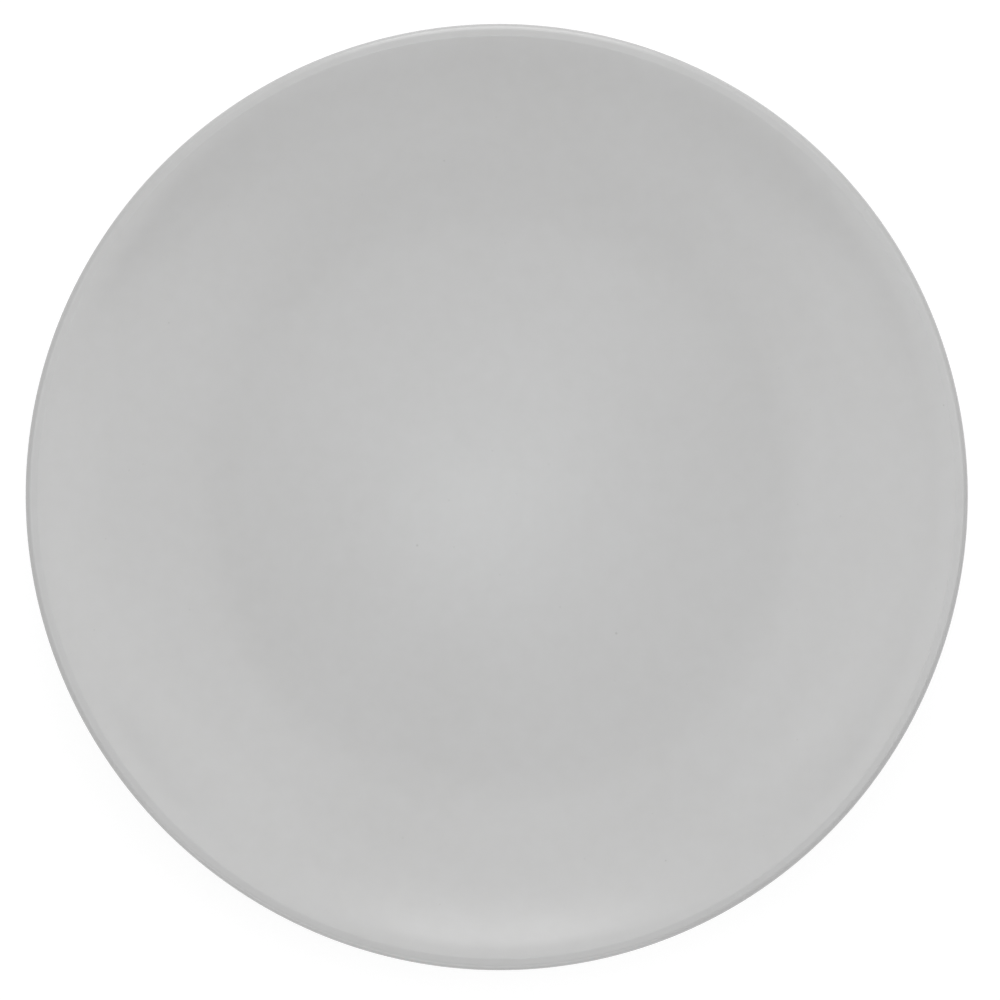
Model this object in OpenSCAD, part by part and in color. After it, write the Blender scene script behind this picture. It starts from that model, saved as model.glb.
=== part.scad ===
// Coupe salad plate: a clay body with its foot ring, and the two fields of glaze that cover it.
// The half section is walked from the middle of the well, over the lip and round the foot ring
// to the middle of the recess underneath. The outside is always on the left of the walk.

/* [Plate] */
// Diameter over the lip, glaze included
plate_d = 210; // [180:1:250]
// Thickness of the clay, the same from the well to the lip
clay_t = 3.6; // [2.6:0.1:5]
// Thickness of the glaze
glaze_t = 0.4; // [0.2:0.05:0.7]

/* [Wall] */
// Slope of the dished well at its edge, in degrees
well_slope = 9; // [6:1:12]
// Radius of the curve from the well into the wall
shoulder_r = 80; // [40:1:120]
// Slope of the straight part of the wall, in degrees
wall_slope = 18; // [14:1:24]
// Length of the straight part of the wall
wall_l = 10; // [5:0.5:15]
// Radius of the curve by which the wall turns up towards the rim
rim_r = 85; // [50:1:110]
// Turn from the straight part to the steepest place, in degrees
rim_turn = 13; // [8:1:20]

/* [Lip] */
// Radius of the curve by which the rim eases back below the lip
roll_r = 20; // [12:1:50]
// Turn of that curve, in degrees
roll_turn = 12; // [3:1:16]

/* [Foot ring] */
// Height of the middle of the clay floor above the standing face
floor_h = 1.9; // [1.2:0.1:4]
// Width of the standing face
foot_face_w = 3; // [1.5:0.1:5]
// Distance of the foot ring from the edge of the well
foot_inset = 1; // [0.5:0.5:12]
// Lean of the foot ring's sides from upright, in degrees
foot_lean = 15; // [5:1:30]
// Radius at the edges of the standing face
foot_edge_r = 0.8; // [0.3:0.1:1.2]
// Radius of the curve between the foot ring and the floor
foot_root_r = 1.5; // [1:0.1:2]
// Height of the bare clay on the foot ring's sides
bare_h = 1.1; // [0.5:0.1:1.6]

/* [Hidden] */
// Most that a chord may lie inside its curve
arc_sag = 0.003;
// Facets of a preview, all the way round
$fn = 200;
// Most of a height that a curve on the foot ring may take up
curve_share = 0.9;

steepest = wall_slope + rim_turn;
lip_slope = steepest - roll_turn;
lip_r = clay_t / 2;
shoulder_run = shoulder_r * (sin(wall_slope) - sin(well_slope));
wall_run = wall_l * cos(wall_slope);
rim_run = rim_r * (sin(steepest) - sin(wall_slope));
roll_run = roll_r * (sin(steepest) - sin(lip_slope));
lip_run = lip_r * (1 + sin(lip_slope));
well_r = plate_d / 2 - glaze_t - lip_run - roll_run - rim_run - wall_run - shoulder_run;

// The well is a shallow cap of a sphere, and the floor under it has the same centre
dish_r = well_r / sin(well_slope);
floor_r = dish_r + clay_t;
dish_centre = [0, floor_h + floor_r];
function floor_z(radius) = dish_centre.y - sqrt(pow(floor_r, 2) - pow(radius, 2));

// The foot ring starts a little inside the edge of the floor
foot_r = floor_r * sin(well_slope) - foot_inset;
foot_slope = asin(foot_r / floor_r);
foot_turn = 90 - foot_lean;
turn_drop = 1 - cos(foot_turn);
widest_ring = foot_face_w + 2 * (foot_root_r + foot_edge_r + floor_z(foot_r) * tan(foot_lean));
bead_h = bare_h + glaze_t * cos(foot_lean);

// The two curves on the foot ring's sides stay within the glazed and the bare part of its height
root_r = min(foot_root_r, curve_share * (floor_z(foot_r - widest_ring) - bead_h) / turn_drop);
edge_r = min(foot_edge_r, curve_share * bare_h / turn_drop);
root_drop = root_r * (cos(foot_slope) - cos(foot_turn));
outer_l = (floor_z(foot_r) - root_drop - bead_h) / cos(foot_lean);
bare_l = (bare_h - edge_r * turn_drop) / cos(foot_lean) + glaze_t;

// A step of the walk is [length, 0] for a straight stretch, or [radius, turn] for an arc. A turn to
// the left hollows the outside, a turn to the right rounds it.
upper_steps = [
    [dish_r, well_slope],
    [shoulder_r, wall_slope - well_slope],
    [wall_l, 0],
    [rim_r, rim_turn],
    [roll_r, -roll_turn],
];
lower_steps = [
    [roll_r - clay_t, roll_turn],
    [rim_r + clay_t, -rim_turn],
    [wall_l, 0],
    [shoulder_r + clay_t, well_slope - wall_slope],
    [floor_r, foot_slope - well_slope],
    [root_r, foot_turn - foot_slope],
    [outer_l, 0],
];
bare_steps = [
    [bare_l, 0],
    [edge_r, -foot_turn],
    [foot_face_w, 0],
    [edge_r, -foot_turn],
    [bare_l, 0],
];
// Turn on the spot, which the glaze rounds into the bead along its edge
bead_step = [0, -90];

well_start = [0, floor_h + clay_t, 0];
coat_path = walk(well_start, concat(upper_steps, [[lip_r, -180]], lower_steps));
bare_path = walk(end_of(coat_path), bare_steps);
inner_edge = end_of(bare_path);
inner_l = reach_of_side(inner_edge);
root_centre = end_of(straight(inner_edge, inner_l)) + concat(root_r * left(inner_edge.z), [0]);
recess_slope = asin(root_centre.x / (floor_r + root_r));
recess_steps = [
    [inner_l, 0],
    [root_r, foot_turn + recess_slope],
    [floor_r, -recess_slope],
];
recess_path = concat(but_last(walk(inner_edge, recess_steps)), [[0, floor_h, 180]]);

// Length of the foot ring's inner side, up to where its root curve meets the floor
function reach_of_side(place) =
    let (
        start = [place.x, place.y] + root_r * left(place.z) - dish_centre,
        along = start * ahead(place.z)
    )
    -along - sqrt(pow(along, 2) - start * start + pow(floor_r + root_r, 2));

// A place on the walk is [radius from the axis, height, heading]
function end_of(path) = path[len(path) - 1];
function left(heading) = [-sin(heading), cos(heading)];
function ahead(heading) = [cos(heading), sin(heading)];
function reversed(list) = [for (i = [len(list) - 1 : -1 : 0]) list[i]];
function after_first(list) = [for (i = [1 : len(list) - 1]) list[i]];
function but_last(list) = [for (i = [0 : 1 : len(list) - 2]) list[i]];

// Number of chords in an arc, enough for the glaze on it too
function chords(radius, turn) =
    let (chord_turn = 2 * acos(1 - arc_sag / max(radius, glaze_t)))
    max(2, ceil(abs(turn) / chord_turn));

function straight(place, length) =
    let (p = [place.x, place.y] + length * ahead(place.z))
    [[p.x, p.y, place.z]];

function arc(place, radius, turn) =
    let (
        bend = sign(turn) * radius,
        centre = [place.x, place.y] + bend * left(place.z),
        n = chords(radius, turn)
    )
    [for (i = [1 : n])
        let (
            heading = place.z + turn * i / n,
            p = centre - bend * left(heading)
        )
        [p.x, p.y, heading]
    ];

function stretch(place, step) =
    step[1] == 0 ? straight(place, step[0]) : arc(place, step[0], step[1]);

// All places along the steps, the start and the end included
function walk(start, steps, i = 0) =
    i == len(steps)
        ? [start]
        : let (part = stretch(start, steps[i]))
            concat([start], but_last(part), walk(end_of(part), steps, i + 1));

// The section's points along a path, raised from the clay by a thickness of glaze
function raised(path, thickness) = [for (s = path) [s.x, s.y] + thickness * left(s.z)];

module lathe(section) {
    rotate_extrude() polygon(section);
}

// The fired clay, with the foot ring and its bare standing face
module clay_body() {
    outline = concat(coat_path, after_first(bare_path), after_first(recess_path));
    color([0.84, 0.81, 0.76]) lathe(raised(outline, 0));
}

// The glaze from the well over the lip and down to the bead on the outer side of the foot ring
module glaze_coat() {
    bead = after_first(walk(end_of(coat_path), [bead_step]));
    outside = raised(concat(coat_path, bead), glaze_t);
    inside = reversed(raised(coat_path, 0));
    color([0.76, 0.76, 0.755]) lathe(concat(outside, inside));
}

// The glaze inside the foot ring, from the bead on its inner side to the middle of the recess
module foot_recess_glaze() {
    edge = recess_path[0];
    bead = walk([edge.x, edge.y, edge.z - bead_step[1]], [bead_step]);
    outside = raised(concat(bead, after_first(recess_path)), glaze_t);
    inside = reversed(raised(recess_path, 0));
    color([0.76, 0.76, 0.755]) lathe(concat(outside, inside));
}

clay_body();
glaze_coat();
foot_recess_glaze();
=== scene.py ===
"""A coupe salad plate with a satin grey glaze, seen from straight above on a white floor."""

import math

import bpy
import numpy as np
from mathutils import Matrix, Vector


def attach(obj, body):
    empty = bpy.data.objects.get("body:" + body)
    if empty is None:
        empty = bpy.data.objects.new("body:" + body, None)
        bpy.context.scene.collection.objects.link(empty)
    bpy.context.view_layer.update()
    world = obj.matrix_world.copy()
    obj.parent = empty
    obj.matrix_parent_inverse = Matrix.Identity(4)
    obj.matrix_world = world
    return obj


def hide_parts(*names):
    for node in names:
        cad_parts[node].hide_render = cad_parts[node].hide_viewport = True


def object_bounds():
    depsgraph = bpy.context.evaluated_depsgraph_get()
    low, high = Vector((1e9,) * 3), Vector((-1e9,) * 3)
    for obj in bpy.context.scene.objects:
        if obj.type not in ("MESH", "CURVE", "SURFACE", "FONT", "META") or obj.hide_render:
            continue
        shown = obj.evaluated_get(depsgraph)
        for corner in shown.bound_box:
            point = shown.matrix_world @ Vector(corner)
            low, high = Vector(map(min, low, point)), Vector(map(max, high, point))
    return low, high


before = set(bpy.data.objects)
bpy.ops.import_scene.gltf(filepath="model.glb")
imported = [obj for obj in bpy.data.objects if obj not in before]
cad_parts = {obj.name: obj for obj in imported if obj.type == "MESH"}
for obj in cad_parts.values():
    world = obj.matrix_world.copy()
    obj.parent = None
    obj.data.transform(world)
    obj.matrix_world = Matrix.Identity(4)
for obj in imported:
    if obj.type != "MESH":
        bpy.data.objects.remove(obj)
CAD_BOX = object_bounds()

# Sizes of the plate in millimetres and degrees, the same as in its solids
MM = 0.001
CLAY_T = 3.6
GLAZE_T = 0.4
WELL_SLOPE = 9
SHOULDER_R = 80
WALL_SLOPE = 18
WALL_L = 10
RIM_R = 85
RIM_TURN = 13
ROLL_R = 20
ROLL_TURN = 12
FLOOR_H = 1.9
FOOT_FACE_W = 3
FOOT_INSET = 1
FOOT_LEAN = 15
FOOT_EDGE_R = 0.8
FOOT_ROOT_R = 1.5
BARE_H = 1.1
PLATE_R = (CAD_BOX[1].x - CAD_BOX[0].x) / 2 / MM
LIP_R = CLAY_T / 2
FOOT_TURN = 90 - FOOT_LEAN

# Step of the section's walk that turns on the spot: the glaze rounds it into the bead along its edge
BEAD_STEP = (0, -90)

# Irregularities of a fired plate, in millimetres where nothing else is said: lobes of its outline
# (number, share of the radius, direction in degrees), dips of the rim and the radius that they start
# at, the narrow flat where the glaze has run thin on top of the lip (its depth, and its fall outwards
# in degrees), and how far the edge of the glaze wanders on the foot ring
OUT_OF_ROUND = [(2, 0.0021, 95), (3, 0.0016, 49)]
RIM_DIP = 0.12
RIM_DIP_FROM = 60
RIM_DIP_LOBES = (2, 3)
RIM_DIP_SEED = 1
LIP_FLAT_DEPTH = 0.115
LIP_FLAT_FALL = 5
GLAZE_EDGE_SWAY = 0.14
GLAZE_EDGE_LOBES = (4, 7, 12, 19)
GLAZE_EDGE_SEED = 3

# Fineness of the meshes: places round the plate, and the longest steps along its section, in degrees
# of an arc and in millimetres
SEGMENTS = 300
ARC_STEP_DEG = 4
LONGEST_STEP = 2

# A noise is given by its waves to the metre and its detail, and specks by their spacing and radius
# in millimetres and their strength. The range is where nearly all values of a noise lie, and the core
# is the share of a speck's radius that has its full strength.
NOISE_RANGE = (0.3, 0.7)
SPECK_CORE = 0.5

# Glaze: tones of its mottling, roughness, specks, the two largest specks (places in millimetres across
# the plate, radius and strength), and the depths in metres of its orange peel and turning rings
MOTTLING_PATCHES = (24, 2)
MOTTLING_GRAIN = (260, 5)
GLAZE_TONES = [
    (0.30, (0.489, 0.4875, 0.4845)),
    (0.50, (0.5015, 0.5005, 0.4985)),
    (0.70, (0.5125, 0.5125, 0.5115)),
]
GLAZE_SHEEN = (70, 4)
GLAZE_ROUGHNESS = (0.235, 0.265)
IRON_COLOUR = (0.13, 0.115, 0.10)
PALE_COLOUR = (0.70, 0.70, 0.68)
IRON_SPECKS = (14, 0.24, 0.2)
FAINT_SPECKS = (7, 0.24, 0.11)
PALE_SPECKS = (18, 0.22, 0.15)
SPOT_PLACES = [(-18.1, -11.0), (26.8, -30.8)]
SPOT_SIZE = (0.34, 0.22)
PEEL = (330, 2)
PEEL_DEPTH = 1.6e-5
RING_WAVES = 420
RING_DEPTH = 1.2e-5

# Bare clay: tones of its grain and blotches, the height in millimetres from which it is toasted beside
# the glaze and how far that line sways, specks, roughness, and the depth of its grain in metres
CLAY_GRAIN = (2600, 4)
CLAY_BLOTCHES = (120, 3)
CLAY_TONES = [
    (0.30, (0.52, 0.46, 0.38)),
    (0.50, (0.66, 0.61, 0.53)),
    (0.72, (0.74, 0.70, 0.63)),
]
TOASTED_COLOUR = (0.42, 0.29, 0.18)
TOASTED_FROM = 0.7
TOASTED_SWAY = 0.6
CLAY_SPECKS = (1.6, 0.12, 0.7)
CLAY_ROUGHNESS = (0.78, 0.92)
CLAY_DEPTH = 5e-5

# Camera: straight above, with the plate where the photograph has it. Places in pixels, the distance
# in metres and the sensor in millimetres
IMAGE_PX = 1000
PLATE_CENTRE_PX = (497.35, 496.65)
PLATE_RADIUS_PX = 472.2
CAMERA_DISTANCE = 1.2
SENSOR = 36

# Light: the world's level, and its level where it is seen as the background. Lamps: name, azimuth and
# angle from overhead in degrees, distance, width and height in metres, power in watts, colour
WORLD_LEVEL = 0.37
SEEN_WORLD_LEVEL = 1.0
WHITE = (1, 1, 1)
COOL = (0.92, 0.97, 1)
LAMPS = [
    ("camera_light", 290, 0.3, 1.15, 0.18, 0.06, 0.445, COOL),
    ("front_strip", 280, 7.7, 1.15, 0.5, 0.06, 0.21, WHITE),
    ("left_softbox", 182, 36.5, 1.0, 0.95, 0.5, 1.92, WHITE),
    ("left_low", 181, 56, 1.0, 0.5, 0.36, 0.48, WHITE),
    ("right_softbox", 0, 31, 1.0, 0.95, 0.44, 1.33, WHITE),
    ("right_low", 0, 54, 1.0, 0.8, 0.42, 1.7, WHITE),
    ("back_softbox", 90, 38, 1.0, 1.4, 0.6, 1.45, WHITE),
    ("back_window", 90, 52, 1.0, 0.47, 0.25, 0.88, WHITE),
    ("back_low", 90, 70, 1.0, 0.5, 0.3, 0.6, WHITE),
    ("back_panel", 90, 83, 1.0, 0.7, 0.2, 2.1, WHITE),
    ("front_panel", 255, 79, 1.0, 1.4, 0.25, 2.3, WHITE),
]

# Floor: its colour for the light that it throws back, and what is seen of it, which is part glow and
# part lit surface, so that the plate's shadow shows on white. Its side is in metres
FLOOR_COLOUR = (0.5, 0.5, 0.5, 1)
SEEN_FLOOR_COLOUR = (0.30, 0.30, 0.30, 1)
SEEN_FLOOR_GLOW = 0.8
FLOOR_SIZE = 6


def left(heading):
    """Unit vector to the left of a heading in degrees: the outside of the section."""
    a = np.radians(heading)
    return np.stack([-np.sin(a), np.cos(a)], -1)


def ahead(heading):
    """Unit vector along a heading in degrees."""
    a = np.radians(heading)
    return np.stack([np.cos(a), np.sin(a)], -1)


def sine(degrees):
    """Sine of an angle in degrees."""
    return math.sin(math.radians(degrees))


def cosine(degrees):
    """Cosine of an angle in degrees."""
    return math.cos(math.radians(degrees))


def stretch(place, size, turn):
    """Places along a straight stretch (size is its length) or an arc (size is its radius)."""
    point, heading = np.array(place[:2]), place[2]
    if turn == 0:
        n = max(1, math.ceil(size / LONGEST_STEP))
        points = [point + size * i / n * ahead(heading) for i in range(1, n + 1)]
        return [(*p, heading) for p in points]
    bend = math.copysign(size, turn)
    centre = point + bend * left(heading)
    arc_length = size * math.radians(abs(turn))
    n = max(2, math.ceil(abs(turn) / ARC_STEP_DEG), math.ceil(arc_length / LONGEST_STEP))
    headings = [heading + turn * i / n for i in range(1, n + 1)]
    return [(*(centre - bend * left(h)), h) for h in headings]


def walk(start, steps):
    """All places (radius, height, heading) along steps of (size, turn), the start included."""
    path = [start]
    for size, turn in steps:
        path += stretch(path[-1], size, turn)
    return path


def raised(path, thickness):
    """Section points along a path, raised from the clay by a thickness of glaze."""
    path = np.array(path)
    return path[:, :2] + thickness * left(path[:, 2])


def well_radius():
    """Radius of the clay's dished well: what the wall and the lip leave of the plate's radius."""
    steepest = WALL_SLOPE + RIM_TURN
    lip_slope = steepest - ROLL_TURN
    runs = [
        SHOULDER_R * (sine(WALL_SLOPE) - sine(WELL_SLOPE)),
        WALL_L * cosine(WALL_SLOPE),
        RIM_R * (sine(steepest) - sine(WALL_SLOPE)),
        ROLL_R * (sine(steepest) - sine(lip_slope)),
        LIP_R * (1 + sine(lip_slope)),
    ]
    return PLATE_R - GLAZE_T - sum(runs)


def coat_path(dish_r):
    """Path under the main glaze: from the middle of the well over the lip to the foot ring."""
    floor_r = dish_r + CLAY_T
    foot_slope = math.degrees(math.asin(sine(WELL_SLOPE) - FOOT_INSET / floor_r))
    floor_z = FLOOR_H + floor_r * (1 - cosine(foot_slope))
    root_drop = FOOT_ROOT_R * (cosine(foot_slope) - cosine(FOOT_TURN))
    bead_h = BARE_H + GLAZE_T * cosine(FOOT_LEAN)
    return walk((0.0, FLOOR_H + CLAY_T, 0.0), [
        (dish_r, WELL_SLOPE),
        (SHOULDER_R, WALL_SLOPE - WELL_SLOPE),
        (WALL_L, 0),
        (RIM_R, RIM_TURN),
        (ROLL_R, -ROLL_TURN),
        (LIP_R, -180),
        (ROLL_R - CLAY_T, ROLL_TURN),
        (RIM_R + CLAY_T, -RIM_TURN),
        (WALL_L, 0),
        (SHOULDER_R + CLAY_T, WELL_SLOPE - WALL_SLOPE),
        (floor_r, foot_slope - WELL_SLOPE),
        (FOOT_ROOT_R, FOOT_TURN - foot_slope),
        ((floor_z - root_drop - bead_h) / cosine(FOOT_LEAN), 0),
    ])


def bare_path(start):
    """Path over the bare part of the foot ring, from one edge of the glaze to the other."""
    edge_drop = FOOT_EDGE_R * (1 - cosine(FOOT_TURN))
    bare_l = (BARE_H - edge_drop) / cosine(FOOT_LEAN) + GLAZE_T
    return walk(start, [
        (bare_l, 0),
        (FOOT_EDGE_R, -FOOT_TURN),
        (FOOT_FACE_W, 0),
        (FOOT_EDGE_R, -FOOT_TURN),
        (bare_l, 0),
    ])


def recess_path(start, floor_r):
    """Path under the recess's glaze: up the foot ring's inner side and along the floor to the axis."""
    heading = start[2]
    reach = floor_r + FOOT_ROOT_R
    root = np.array(start[:2]) + FOOT_ROOT_R * left(heading) - (0, FLOOR_H + floor_r)
    along = root @ ahead(heading)
    side_l = -along - math.sqrt(along ** 2 - root @ root + reach ** 2)
    root_x = (root + side_l * ahead(heading))[0]
    slope = math.degrees(math.asin(root_x / reach))
    path = walk(start, [(side_l, 0), (FOOT_ROOT_R, FOOT_TURN + slope), (floor_r, -slope)])
    return path[:-1] + [(0.0, FLOOR_H, 180.0)]


def section_paths():
    """The clay's section in three paths: under the main glaze, bare, and under the recess's glaze."""
    dish_r = well_radius() / sine(WELL_SLOPE)
    coat = coat_path(dish_r)
    bare = bare_path(coat[-1])
    return coat, bare, recess_path(bare[-1], dish_r + CLAY_T)


def thinned_lip(section):
    """The glaze's section with the flat on top of its lip, which falls outwards."""
    glazed_r = LIP_R + GLAZE_T
    centre = (PLATE_R - glazed_r, section[:, 1].max() - glazed_r)
    upward = left(-LIP_FLAT_FALL)
    above = (section - centre) @ upward - (glazed_r - LIP_FLAT_DEPTH)
    return section - np.clip(above, 0, None)[:, None] * upward


def waves(angles, lobes, seed):
    """Irregular waves round the plate, about 1 high: lobes with seeded phases and falling heights."""
    phases = np.random.default_rng(seed).uniform(0, 2 * np.pi, len(lobes))
    return sum(np.cos(n * angles + p) / (i + 1) for i, (n, p) in enumerate(zip(lobes, phases)))


def smooth_step(value, start, end):
    """0 before start, 1 after end, and smooth between them."""
    t = np.clip((value - start) / (end - start), 0, 1)
    return t * t * (3 - 2 * t)


def edge_sway(section, edge):
    """How each section point goes with the glaze's wandering edge: along the foot ring's side, and
    less the farther it is from the edge."""
    distance = np.linalg.norm(section - np.array(edge[:2]), axis=1)
    return np.clip(1 - distance / FOOT_ROOT_R, 0, 1)[:, None] * ahead(edge[2])


def fired_rings(section, sway):
    """Rings of points of the turned section, in metres, with the irregularities of a fired plate."""
    angles = np.arange(SEGMENTS) * 2 * np.pi / SEGMENTS
    wander = GLAZE_EDGE_SWAY * waves(angles, GLAZE_EDGE_LOBES, GLAZE_EDGE_SEED)
    radii = section[:, :1] + sway[:, :1] * wander
    heights = section[:, 1:] + sway[:, 1:] * wander
    dips = waves(angles, RIM_DIP_LOBES, RIM_DIP_SEED)
    rim_share = smooth_step(radii, RIM_DIP_FROM, PLATE_R)
    z = heights + rim_share * RIM_DIP * (dips - dips.max())
    lobes = sum(share * np.cos(n * (angles - math.radians(at))) for n, share, at in OUT_OF_ROUND)
    x = radii * (1 + lobes) * np.cos(angles)
    y = radii * (1 + lobes) * np.sin(angles)
    return np.stack(np.broadcast_arrays(x, y, z), -1) * MM


def lathe(name, section, sway):
    """Closed mesh of a section that starts and ends on the axis, turned about it."""
    vertices, rings = [], []
    for radius, ring in zip(section[:, 0], fired_rings(section, sway)):
        points = ring if radius > 0 else ring[:1]
        rings.append(range(len(vertices), len(vertices) + len(points)))
        vertices.extend(map(tuple, points))
    faces = []
    for a, b in zip(rings, rings[1:]):
        for i in range(SEGMENTS):
            j = (i + 1) % SEGMENTS
            corners = [a[i % len(a)], b[i % len(b)], b[j % len(b)], a[j % len(a)]]
            faces.append(list(dict.fromkeys(corners)))
    mesh = bpy.data.meshes.new(name)
    mesh.from_pydata(vertices, [], faces)
    mesh.shade_smooth()
    piece = bpy.data.objects.new(name, mesh)
    bpy.context.scene.collection.objects.link(piece)
    return piece


def add_node(tree, kind, inputs=None, **settings):
    """A shader node with its settings; an input is a value, or an output socket to link from."""
    node = tree.nodes.new("ShaderNode" + kind)
    for name, value in settings.items():
        setattr(node, name, value)
    for name, value in (inputs or {}).items():
        if isinstance(value, bpy.types.NodeSocket):
            tree.links.new(value, node.inputs[name])
        else:
            node.inputs[name].default_value = value
    return node


def noise(tree, place, scale, detail):
    """Value of a noise texture in space, with a number of waves to the metre."""
    inputs = {"Vector": place, "Scale": scale, "Detail": detail}
    return add_node(tree, "TexNoise", inputs).outputs["Fac"]


def math_node(tree, operation, *values):
    """Result of a sum on values or output sockets."""
    return add_node(tree, "Math", dict(enumerate(values)), operation=operation).outputs[0]


def average(tree, first, second):
    """Mean of two output sockets."""
    return math_node(tree, "MULTIPLY", math_node(tree, "ADD", first, second), 0.5)


def fade(tree, value, start, end, low=0.0, high=1.0):
    """Value mapped so that start gives low and end gives high, and not beyond them."""
    inputs = {"Value": value, "From Min": start, "From Max": end, "To Min": low, "To Max": high}
    return add_node(tree, "MapRange", inputs).outputs["Result"]


def tones(tree, value, stops):
    """Colour of a ramp through stops of (value, colour)."""
    node = add_node(tree, "ValToRGB", {"Fac": value})
    elements = node.color_ramp.elements
    while len(elements) < len(stops):
        elements.new(0.5)
    for element, (position, colour) in zip(elements, stops):
        element.position = position
        element.color = (*colour, 1)
    return node.outputs["Color"]


def mix(tree, factor, below, above):
    """Colour between an output socket below and a plain colour above it."""
    node = add_node(tree, "MixRGB", {"Fac": factor, "Color1": below, "Color2": (*above, 1)})
    return node.outputs["Color"]


def specks(tree, place, spacing, radius, strength):
    """Mask of round specks in the material, which the surface cuts at any depth."""
    inputs = {"Vector": place, "Scale": 1 / (spacing * MM)}
    distance = add_node(tree, "TexVoronoi", inputs).outputs["Distance"]
    size = radius / spacing
    return fade(tree, distance, size, size * SPECK_CORE, 0, strength)


def spot(tree, across, x, y, radius, strength):
    """Mask of one large speck at a place across the plate."""
    inputs = {0: across, 1: (x * MM, y * MM, 0)}
    distance = add_node(tree, "VectorMath", inputs, operation="DISTANCE").outputs["Value"]
    size = radius * MM
    return fade(tree, distance, size, size * SPECK_CORE, 0, strength)


def turning_rings(tree, across):
    """Value of the fine rings that turning leaves, by the distance from the axis."""
    radius = add_node(tree, "VectorMath", {0: across}, operation="LENGTH").outputs["Value"]
    inputs = {"W": radius, "Scale": RING_WAVES}
    return add_node(tree, "TexNoise", inputs, noise_dimensions="1D").outputs["Fac"]


def new_material(name):
    """A material with its node tree, its shader and the place on the plate in metres."""
    material = bpy.data.materials.new(name)
    material.use_nodes = True
    tree = material.node_tree
    place = add_node(tree, "TexCoord").outputs["Object"]
    return material, tree, tree.nodes["Principled BSDF"], place


def finish_surface(tree, shader, colour, roughness, height):
    """Links the colour, the roughness and a height in metres to the shader."""
    bump = add_node(tree, "Bump", {"Height": height, "Distance": 1.0})
    tree.links.new(colour, shader.inputs["Base Color"])
    tree.links.new(roughness, shader.inputs["Roughness"])
    tree.links.new(bump.outputs["Normal"], shader.inputs["Normal"])


def glaze_material():
    """Satin grey glaze: faint mottling, a few fine specks, orange peel and the marks of turning."""
    material, tree, shader, place = new_material("satin_glaze")
    across = add_node(tree, "VectorMath", {0: place, 1: (1, 1, 0)}, operation="MULTIPLY").outputs[0]
    patches = noise(tree, place, *MOTTLING_PATCHES)
    grain = noise(tree, place, *MOTTLING_GRAIN)
    colour = tones(tree, average(tree, patches, grain), GLAZE_TONES)
    colour = mix(tree, specks(tree, place, *FAINT_SPECKS), colour, IRON_COLOUR)
    colour = mix(tree, specks(tree, place, *PALE_SPECKS), colour, PALE_COLOUR)
    colour = mix(tree, specks(tree, place, *IRON_SPECKS), colour, IRON_COLOUR)
    for x, y in SPOT_PLACES:
        colour = mix(tree, spot(tree, across, x, y, *SPOT_SIZE), colour, IRON_COLOUR)
    sheen = noise(tree, place, *GLAZE_SHEEN)
    roughness = fade(tree, sheen, *NOISE_RANGE, *GLAZE_ROUGHNESS)
    peel = math_node(tree, "MULTIPLY", noise(tree, place, *PEEL), PEEL_DEPTH)
    height = math_node(tree, "MULTIPLY_ADD", turning_rings(tree, across), RING_DEPTH, peel)
    finish_surface(tree, shader, colour, roughness, height)
    return material


def clay_material():
    """Bare fired clay: grainy, specked, and toasted along the edge of the glaze."""
    material, tree, shader, place = new_material("bare_clay")
    grain = noise(tree, place, *CLAY_GRAIN)
    blotches = noise(tree, place, *CLAY_BLOTCHES)
    colour = tones(tree, average(tree, grain, blotches), CLAY_TONES)
    z = add_node(tree, "SeparateXYZ", {0: place}).outputs["Z"]
    swayed_z = math_node(tree, "MULTIPLY_ADD", blotches, TOASTED_SWAY * MM, z)
    toasted = fade(tree, swayed_z, TOASTED_FROM * MM, (TOASTED_FROM + BARE_H) * MM)
    colour = mix(tree, toasted, colour, TOASTED_COLOUR)
    colour = mix(tree, specks(tree, place, *CLAY_SPECKS), colour, IRON_COLOUR)
    roughness = fade(tree, blotches, *NOISE_RANGE, *CLAY_ROUGHNESS)
    height = math_node(tree, "MULTIPLY", grain, CLAY_DEPTH)
    finish_surface(tree, shader, colour, roughness, height)
    return material


def add_layer(name, node, material, section, glaze_edge=None):
    """A layer of the plate, turned from its section, in place of its solid."""
    sway = edge_sway(section, glaze_edge) if glaze_edge else np.zeros_like(section)
    piece = lathe(name, section, sway)
    piece.data.materials.append(material)
    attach(piece, "root")
    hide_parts(node)


def make_plate():
    """The three layers of the plate: its clay, the main glaze and the glaze of the recess."""
    coat, bare, recess = section_paths()
    glaze = glaze_material()
    clay = clay_material()

    clay_section = raised(coat + bare[1:] + recess[1:], 0)
    add_layer("fired_clay", "clay_body", clay, clay_section)

    outer_edge = coat[-1]
    outer_bead = walk(outer_edge, [BEAD_STEP])[1:]
    coat_outside = thinned_lip(raised(coat + outer_bead, GLAZE_T))
    coat_section = np.concatenate([coat_outside, raised(coat, 0)[::-1]])
    add_layer("satin_glaze_coat", "glaze_coat", glaze, coat_section, outer_edge)

    inner_edge = recess[0]
    radius, height, heading = inner_edge
    inner_bead = walk((radius, height, heading - BEAD_STEP[1]), [BEAD_STEP])
    recess_outside = raised(inner_bead + recess[1:], GLAZE_T)
    recess_section = np.concatenate([raised(recess, 0)[::-1], recess_outside])
    add_layer("recess_glaze_coat", "foot_recess_glaze", glaze, recess_section, inner_edge)


def seen_rays(tree):
    """1 for rays from the camera, mirror-like surfaces and glass, and 0 for the light thrown about."""
    path = add_node(tree, "LightPath").outputs
    mirrored = math_node(tree, "MAXIMUM", path["Is Glossy Ray"], path["Is Transmission Ray"])
    return math_node(tree, "MAXIMUM", path["Is Camera Ray"], mirrored)


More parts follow.
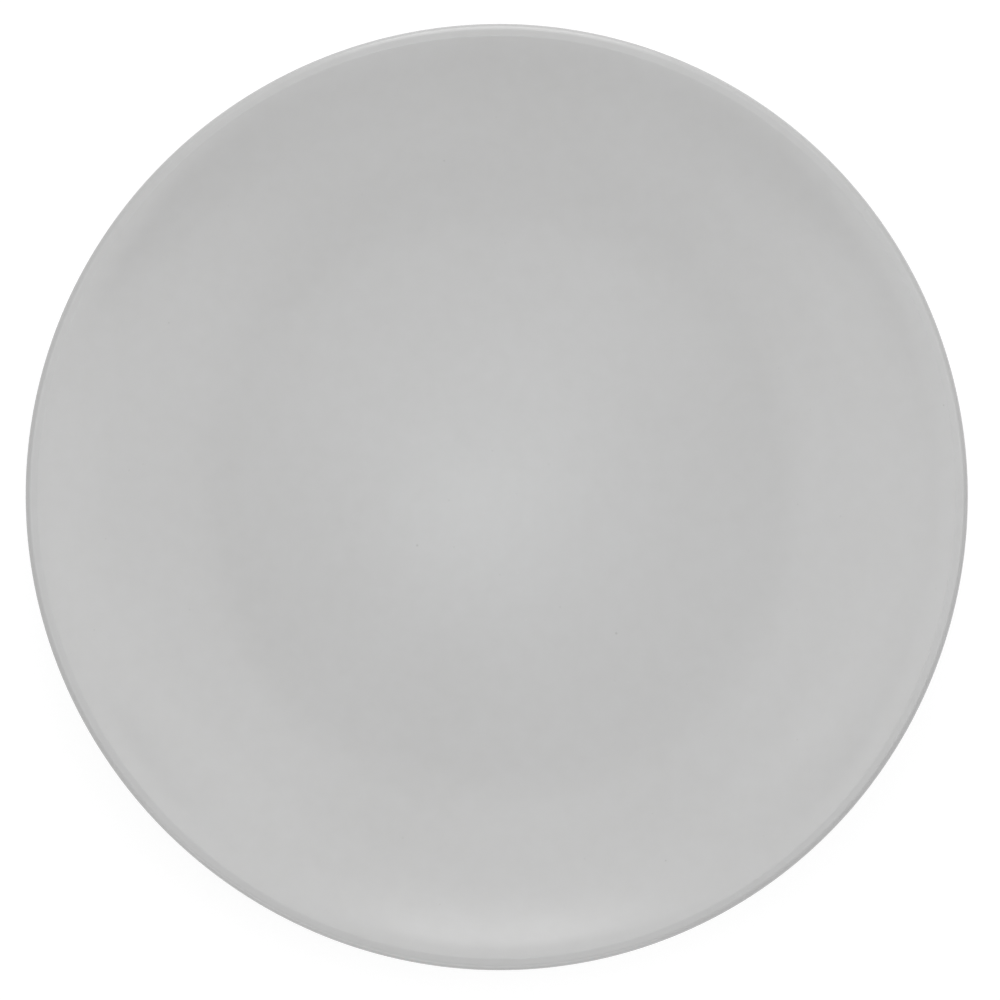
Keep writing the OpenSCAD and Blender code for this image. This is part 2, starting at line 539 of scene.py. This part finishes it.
def make_floor():
    """White floor that keeps the plate's shadow."""
    bpy.ops.mesh.primitive_plane_add(size=FLOOR_SIZE)
    floor = bpy.context.object
    floor.name = "floor"
    material = bpy.data.materials.new("white_floor")
    material.use_nodes = True
    tree = material.node_tree
    tree.nodes.clear()
    plain = add_node(tree, "BsdfDiffuse", {"Color": FLOOR_COLOUR})
    lit = add_node(tree, "BsdfDiffuse", {"Color": SEEN_FLOOR_COLOUR})
    glow = add_node(tree, "Emission", {"Strength": SEEN_FLOOR_GLOW})
    seen = add_node(tree, "AddShader", {0: lit.outputs[0], 1: glow.outputs[0]})
    mixed = add_node(tree, "MixShader", {0: seen_rays(tree), 1: plain.outputs[0], 2: seen.outputs[0]})
    add_node(tree, "OutputMaterial", {"Surface": mixed.outputs[0]})
    floor.data.materials.append(material)


def make_camera():
    """Camera straight above the plate, with the photograph's framing."""
    data = bpy.data.cameras.new("camera")
    camera = bpy.data.objects.new("camera", data)
    bpy.context.scene.collection.objects.link(camera)
    bpy.context.scene.camera = camera
    widest_z = CAD_BOX[1].z - (LIP_R + GLAZE_T) * MM
    camera.location = (0, 0, widest_z + CAMERA_DISTANCE)
    frame_width = PLATE_R * MM * IMAGE_PX / PLATE_RADIUS_PX
    data.sensor_width = SENSOR
    data.lens = SENSOR * CAMERA_DISTANCE / frame_width
    data.shift_x = (IMAGE_PX / 2 - PLATE_CENTRE_PX[0]) / IMAGE_PX
    data.shift_y = (PLATE_CENTRE_PX[1] - IMAGE_PX / 2) / IMAGE_PX


def add_lamp(name, azimuth, from_overhead, distance, width, height, watts, colour):
    """A soft rectangular lamp that faces the plate from a direction."""
    data = bpy.data.lights.new(name, "AREA")
    data.shape = "RECTANGLE"
    data.size = width
    data.size_y = height
    data.energy = watts
    data.color = colour
    lamp = bpy.data.objects.new(name, data)
    az, pol = math.radians(azimuth), math.radians(from_overhead)
    direction = Vector((math.sin(pol) * math.cos(az), math.sin(pol) * math.sin(az), math.cos(pol)))
    lamp.location = distance * direction
    lamp.rotation_euler = (-direction).to_track_quat("-Z", "Y").to_euler()
    lamp.visible_camera = False
    bpy.context.scene.collection.objects.link(lamp)


def make_light():
    """Soft studio light: an even world, white to the camera, and softboxes all round."""
    world = bpy.data.worlds.new("studio")
    bpy.context.scene.world = world
    world.use_nodes = True
    tree = world.node_tree
    background = tree.nodes["Background"]
    background.inputs["Color"].default_value = (*WHITE, 1)
    level = fade(tree, seen_rays(tree), 0, 1, WORLD_LEVEL, SEEN_WORLD_LEVEL)
    tree.links.new(level, background.inputs["Strength"])
    for lamp in LAMPS:
        add_lamp(*lamp)


make_plate()
make_floor()
make_camera()
make_light()
bpy.context.scene.view_settings.view_transform = "Standard"
